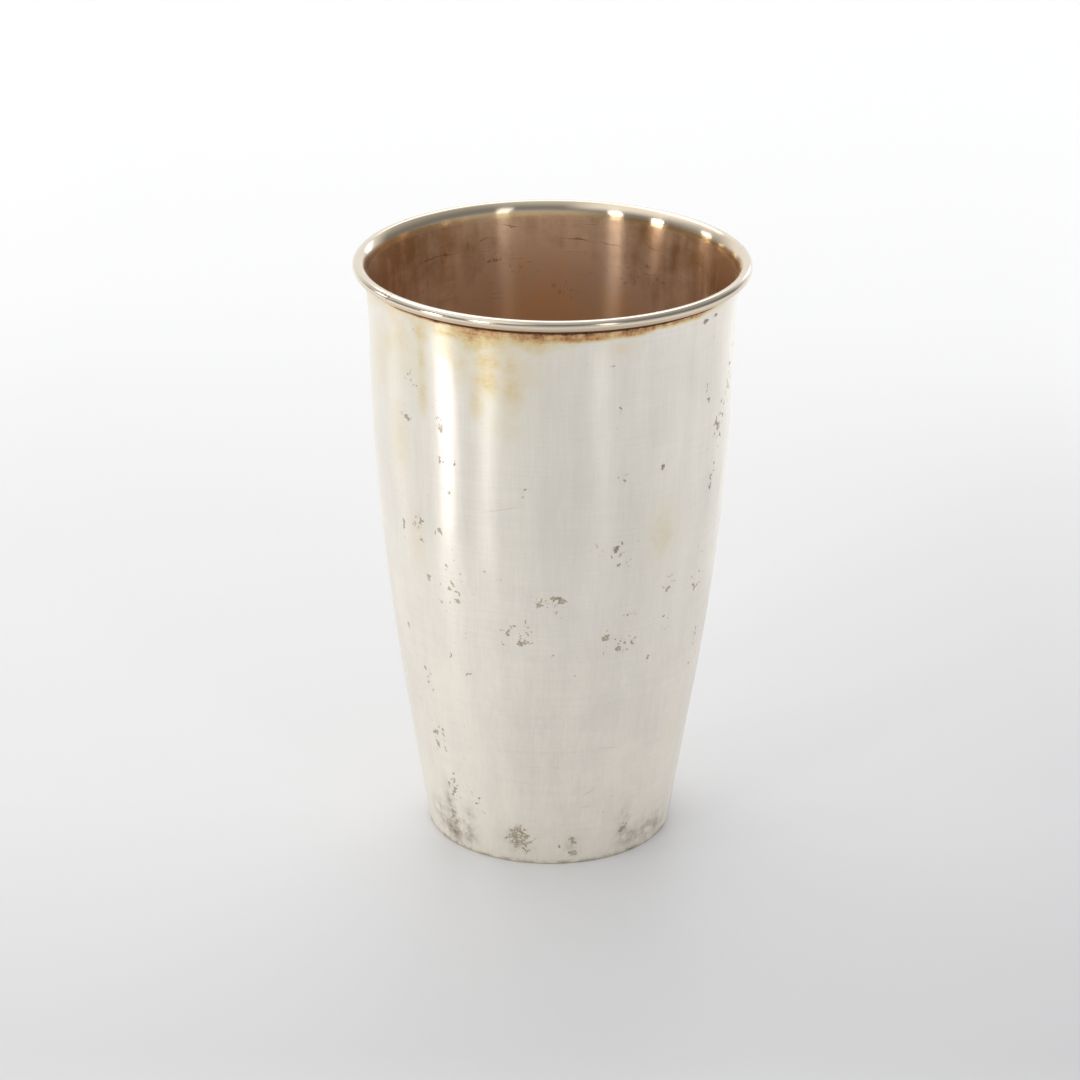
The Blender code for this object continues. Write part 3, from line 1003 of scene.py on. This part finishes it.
        # The dark line in the crevice beside the solder, tarnish with painted shade under the wire; and a
        # painted contact shadow along the foot, as a trace of tarnish and grey film
        lined = np.maximum(ramp(np.abs(facing), 75, 55, 0.35), rear)
        crevice_tarnish_and_shade = lined * ramp(below, 0.72, 0.42)
        # Painted contact shadow at the foot, as tarnish and as grey film
        foot = 0.22 * ramp(at.height, 0.7 * MM, 0)
        foot_contact_shadow = ramp(at.height, 0.8 * MM, 0.3 * MM)
        # The inside's brown tarnish, with painted shading: lighter on the far wall and deep down, darker
        # round the sides to the near wall
        away = 1 - np.abs(facing) / 180
        deep = ramp(at.height, 113 * MM, 98 * MM)
        browned = 0.85 * away + 0.03 - 0.28 * deep
        tarnish = np.maximum.reduce([at.marked(stains), crevice_tarnish_and_shade, under_rim, foot])
        smudge = np.maximum(at.marked(smudges), foot_contact_shadow)
        return {
            "tarnish": np.where(at.inside, browned, tarnish),
            "pitting": np.where(at.inside, 0.0, at.marked(pits)),
            "smudge": np.where(at.inside, at.marked(self.blots), smudge),
        }


@dataclass
class RimBinding:
    """The half-round wire under the lip and the solder that holds it."""

    form: CupForm
    segments: int = 320
    wire_rows: int = 24
    seat_rows: int = 8
    seat_gap: float = 0.01 * MM
    solder_leg: float = 0.5 * MM
    solder_gap: float = 0.02 * MM

    def wire_section(self) -> Section:
        """Closed half-round section of the wire, hollowed to sit under the lip.

        Returns:
            Radius and height of each corner.
        """
        form = self.form
        seat = form.flare_radius - self.seat_gap
        at_flare, at_bead = form.crossing(seat, form.bead_radius)
        lip = 180 - form.flare_angle
        start, end = at_bead - form.flare_angle, -at_bead - form.flare_angle
        face = arc(form.bead_centre, form.bead_radius, start, end, self.wire_rows)
        back = arc(form.flare_centre, seat, lip + at_flare, lip - at_flare, self.seat_rows)
        return face + back[1:-1]

    def solder_section(self) -> Section:
        """Closed section of the solder in the crevice between the wire and the wall.

        Returns:
            Radius and height of each corner.
        """
        form = self.form
        on_wall = form.flare_radius - self.solder_gap
        on_wire = form.bead_radius + self.solder_gap
        at_flare, at_bead = form.crossing(on_wall, on_wire)
        wire_start, wall_start = -at_bead - form.flare_angle, 180 - form.flare_angle + at_flare
        wire_turn = math.degrees(self.solder_leg / on_wire)
        wall_turn = math.degrees(self.solder_leg / on_wall)
        along = arc(form.bead_centre, on_wire, wire_start, wire_start + wire_turn, 3)
        down = arc(form.flare_centre, on_wall, wall_start, wall_start + wall_turn, 3)
        return along + down[:0:-1]

    def build(self, wire: Material, solder: Material) -> list[Object]:
        """Make the wire and its solder.

        Args:
            wire: Finish of the wire.
            solder: Finish of the solder.

        Returns:
            The two pieces.
        """
        ring = turned(self.wire_section(), self.segments)
        run = turned(self.solder_section(), self.segments)
        return [
            settle("rim_half_round_wire", ring, [wire], "rim_wire"),
            settle("rim_solder_run", run, [solder], "rim_solder"),
        ]


@dataclass
class LetInBase:
    """The flat base sheet let into the foot of the wall, and the solder round it inside."""

    form: CupForm
    segments: int = 192
    edge_gap: float = 0.03 * MM
    edge_bevel: float = 0.15 * MM
    solder_leg: float = 1.2 * MM
    solder_gap: float = 0.03 * MM

    def disc(self) -> BMesh:
        """Round sheet with softened edges, leaning with the inside of the wall.

        Returns:
            The sheet as a bmesh.
        """
        form = self.form
        shape = bmesh.new()
        thick = form.base_thickness
        low, high = (float(form.inner_radius(z)) - self.edge_gap for z in (0.0, thick))
        sizes = {"radius1": low, "radius2": high, "depth": thick}
        bmesh.ops.create_cone(shape, cap_ends=True, segments=self.segments, **sizes)
        bmesh.ops.translate(shape, verts=shape.verts, vec=(0, 0, thick / 2))
        rims = [e for e in shape.edges if abs(e.verts[0].co.z - e.verts[1].co.z) < thick / 2]
        rounding = {"offset": self.edge_bevel, "segments": 2, "profile": 0.5}
        bmesh.ops.bevel(shape, geom=rims, **rounding, affect="EDGES", material=-1)
        bmesh.ops.recalc_face_normals(shape, faces=shape.faces)
        return shape

    def solder_section(self) -> Section:
        """Closed section of the solder in the inside corner.

        Returns:
            Radius and height of each corner.
        """
        form = self.form
        floor = form.base_thickness + self.solder_gap
        corner = float(form.inner_radius(floor)) - self.solder_gap
        top = float(form.inner_radius(floor + self.solder_leg)) - self.solder_gap
        hollow = arc((corner - self.solder_leg, floor + self.solder_leg), self.solder_leg, -80, -12, 6)
        wall_side = [(corner, floor), (top, floor + self.solder_leg)]
        return wall_side + hollow[::-1] + [(corner - self.solder_leg, floor)]

    def build(self, sheet: Material, solder: Material) -> list[Object]:
        """Make the base sheet and its solder.

        Args:
            sheet: Finish of the sheet.
            solder: Finish of the solder.

        Returns:
            The two pieces.
        """
        run = turned(self.solder_section(), self.segments)
        return [
            settle("base_disc_sheet", self.disc(), [sheet], "base_disc"),
            settle("base_solder_run", run, [solder], "base_solder"),
        ]


@dataclass(frozen=True)
class Lamp:
    """A soft box: where it stands from the cup, how large it is and how bright its face is."""

    name: str
    bearing: float
    elevation: float
    distance: float
    width: float
    tall: float
    radiance: float
    colour: str = "#FFFFFF"


@dataclass
class Studio:
    """Pale floor and room, soft boxes and the camera."""

    floor_size: float = 4.0
    floor_drop: float = 0.05 * MM
    aim: float = 0.06  # height that the lamps face
    lamps: tuple[Lamp, ...] = (
        Lamp("left_key", -69.5, 9.0, 1.3, 0.175, 0.28, 11.0),
        Lamp("left_fill", -41.0, 20.0, 1.5, 0.20, 0.45, 5.9),
        Lamp("right_fill", 32.0, 26.0, 1.5, 0.22, 0.85, 1.4),
        Lamp("left_edge", -112.0, 14.0, 1.4, 0.22, 0.30, 2.5),
        Lamp("right_rear", 150.0, 14.0, 1.4, 0.24, 0.40, 1.9, "#E2ECFF"),
        Lamp("top_back", -168.0, 52.0, 1.5, 1.6, 0.9, 1.1),
    )
    front_tones: Tones = (  # from the floor in front, past the dim wall behind the camera, to overhead
        (0.0, "#E4E4E4"), (1.0, "#D2D2D2"), (0.32, "#D2D2D2"), (0.39, "#C3C3C3"),
        (0.455, "#ADADAD"), (0.52, "#858585"), (0.614, "#6E6E6E"), (0.74, "#8E8E8E"),
        (0.82, "#B4B4B4"),
    )
    back_tones: Tones = ((0.0, "#F4F4F4"), (1.0, "#D2D2D2"), (0.75, "#F6F6F6"))
    floor_painted_shading: Tones = (  # from near the camera to far behind the cup
        # Painted shading on the floor: a painted shadow just in front of the cup, and brighter far behind it
        (0.0, "#ECECEC"), (1.0, "#FEFEFE"), (0.12, "#E8E8E8"), (0.2, "#DDDDDE"), (0.305, "#ECECED"),
        (0.48, "#F2F2F2"), (0.63, "#FAFAFA"), (0.81, "#FDFDFD"),
    )
    floor_reach: tuple[float, float] = (-0.30, 0.70)  # depths between which the floor's tones run
    camera_place: tuple[float, float, float] = (-0.002165, -0.7038, 0.35006)
    camera_pitch: float = 67.625
    camera_roll: float = 0.304
    lens: float = 126.08  # in millimetres, as the sensor is
    sensor: float = 36.0

    def light(self) -> None:
        """Hang the soft boxes."""
        target = Vector((0, 0, self.aim))
        for lamp in self.lamps:
            data = bpy.data.lights.new(lamp.name, "AREA")
            data.shape = "RECTANGLE"
            data.size, data.size_y = lamp.width, lamp.tall
            data.energy = lamp.radiance * math.pi * lamp.width * lamp.tall
            data.color = linear(lamp.colour)[:3]
            rise = math.radians(lamp.elevation)
            aside, ahead = (share * math.cos(rise) for share in towards(lamp.bearing))
            away = Vector((aside, ahead, math.sin(rise))) * lamp.distance
            body = bpy.data.objects.new(lamp.name, data)
            body.location = target + away
            body.rotation_euler = away.to_track_quat("Z", "Y").to_euler()
            bpy.context.scene.collection.objects.link(body)

    def room(self) -> None:
        """Surround the cup with a pale room that is dim beside and behind the camera."""
        world = bpy.data.worlds.new("pale_room")
        world.use_nodes = True
        bpy.context.scene.world = world
        world.node_tree.nodes.clear()
        put = partial(add, world.node_tree)
        side, ahead, up = put("SeparateXYZ", [put("TexCoord").outputs["Generated"]]).outputs
        level = put("MapRange", [up, -1.0, 1.0])
        sloped = put("MapRange", [side, -0.9, -0.2, 0.08, 0.0])
        for way, share in ((level, 1.0), (ahead, 0.2), (side, -0.05)):
            sloped = put("Math", [way, share, sloped], operation="MULTIPLY_ADD")
        front = put("ValToRGB", [sloped], self.front_tones)
        back = put("ValToRGB", [level], self.back_tones)
        behind = put("MapRange", [ahead, 0.55, 0.8])
        seen = put("Mix", [behind, front, back], data_type="RGBA")
        # High up it is white on the left and a little dimmer on the right
        high = put("MapRange", [up, 0.45, 0.7])
        for start, end, most, tone in ((-0.1, -0.35, 1.0, "#FFFFFF"), (0.15, 0.5, 0.35, "#6A6A6A")):
            near = put("MapRange", [side, start, end, 0.0, most])
            share = put("Math", [high, near], operation="MULTIPLY")
            seen = put("Mix", [share, seen, linear(tone)], data_type="RGBA")
        rays = put("LightPath")
        paints = (linear("#FAFAFA"), seen, linear("#E4E4E4"))
        plain, lit, soft = (put("Background", {"Color": paint, "Strength": 1.0}) for paint in paints)
        mirrored = put("MixShader", [rays.outputs["Is Glossy Ray"], soft, lit])
        pick = put("MixShader", [rays.outputs["Is Camera Ray"], mirrored, plain])
        put("OutputWorld", {"Surface": pick})

    def board(self) -> Material:
        """Matt white board, to the eye a plain pale ground, with painted shading: a painted shadow before
        and beside the cup, and painted light far out on both sides.

        Returns:
            The finished material.
        """
        material, put, place, shader = started("pale_board_with_painted_light", metallic=0.0)
        across, depth, _ = put("SeparateXYZ", [place]).outputs
        # Painted shading by depth: a painted shadow just in front of the cup, brighter far behind it
        along = put("MapRange", [depth, *self.floor_reach])
        colour = put("ValToRGB", [along], self.floor_painted_shading)
        # Painted shadow on the right of the cup, painted light far out on both sides, and painted cool light
        # at the far right
        right, near = put("MapRange", [across, 0.02, 0.11]), put("MapRange", [depth, 0.28, 0.0])
        painted_shadow_share = put("Math", [right, near], operation="MULTIPLY")
        shadowed_board = put("Mix", [painted_shadow_share, colour, linear("#EFEFF0")], data_type="RGBA", blend_type="MULTIPLY")
        # Painted light: the board turns white far out on both sides
        aside = put("Math", [across], operation="ABSOLUTE")
        painted_side_light_share = put("MapRange", [aside, 0.13, 0.28])
        side_lit_board = put("Mix", [painted_side_light_share, shadowed_board, linear("#FFFFFF")], data_type="RGBA")
        # Painted cool light on the board at the far right
        far_right, beside = put("MapRange", [across, 0.135, 0.20]), put("MapRange", [depth, 0.35, 0.20])
        cool = put("Math", [far_right, beside], operation="MULTIPLY")
        cool_lit_board = put("Mix", [cool, side_lit_board, linear("#FDFEFF")], data_type="RGBA")
        fill(shader, {"Base Color": cool_lit_board, "Roughness": 0.38, "Specular IOR Level": 0.3})
        return material

    def floor(self) -> None:
        """Lay the pale sweep that the cup stands on."""
        shape = bmesh.new()
        bmesh.ops.create_grid(shape, x_segments=1, y_segments=1, size=self.floor_size / 2)
        bmesh.ops.translate(shape, verts=shape.verts, vec=(0, 0, -self.floor_drop))
        mesh = bpy.data.meshes.new("studio_floor")
        shape.to_mesh(mesh)
        shape.free()
        mesh.materials.append(self.board())
        sweep = bpy.data.objects.new("studio_floor", mesh)
        bpy.context.scene.collection.objects.link(sweep)

    def camera(self) -> None:
        """Stand the camera where the photograph was taken."""
        data = bpy.data.cameras.new("camera")
        data.lens = self.lens
        data.sensor_width = self.sensor
        data.sensor_fit = "HORIZONTAL"
        data.clip_start = 0.01
        body = bpy.data.objects.new("camera", data)
        tilt = Matrix.Rotation(math.radians(self.camera_pitch), 4, "X")
        roll = Matrix.Rotation(math.radians(self.camera_roll), 4, "Z")
        body.matrix_world = Matrix.Translation(self.camera_place) @ tilt @ roll
        bpy.context.scene.collection.objects.link(body)
        bpy.context.scene.camera = body

    def build(self) -> None:
        """Set up the camera, floor, room and lamps."""
        self.camera()
        self.floor()
        self.room()
        self.light()


def main() -> None:
    """Build the studio and the cup's pieces."""
    logging.basicConfig(level=logging.INFO, format="%(message)s")
    bpy.context.scene.view_settings.view_transform = "Standard"
    Studio().build()
    form = CupForm()
    polished = PolishedSilver(form).make()
    pieces = [RaisedCup(form).build([SatinSilver(form).make(), polished, BrownedSilver(form).make()])]
    rim_solder = SilverSolder("tarnished_silver_solder", "#241812", "#5A3620")
    pieces += RimBinding(form).build(polished, rim_solder.make())
    base_solder = SilverSolder("browned_silver_solder", "#5B3D28", "#8A6340")
    pieces += LetInBase(form).build(WornSilver(form).make(), base_solder.make())
    for piece in pieces:
        LOG.info("%s: %d faces", piece.name, len(piece.data.polygons))


if __name__ == "__main__":
    main()
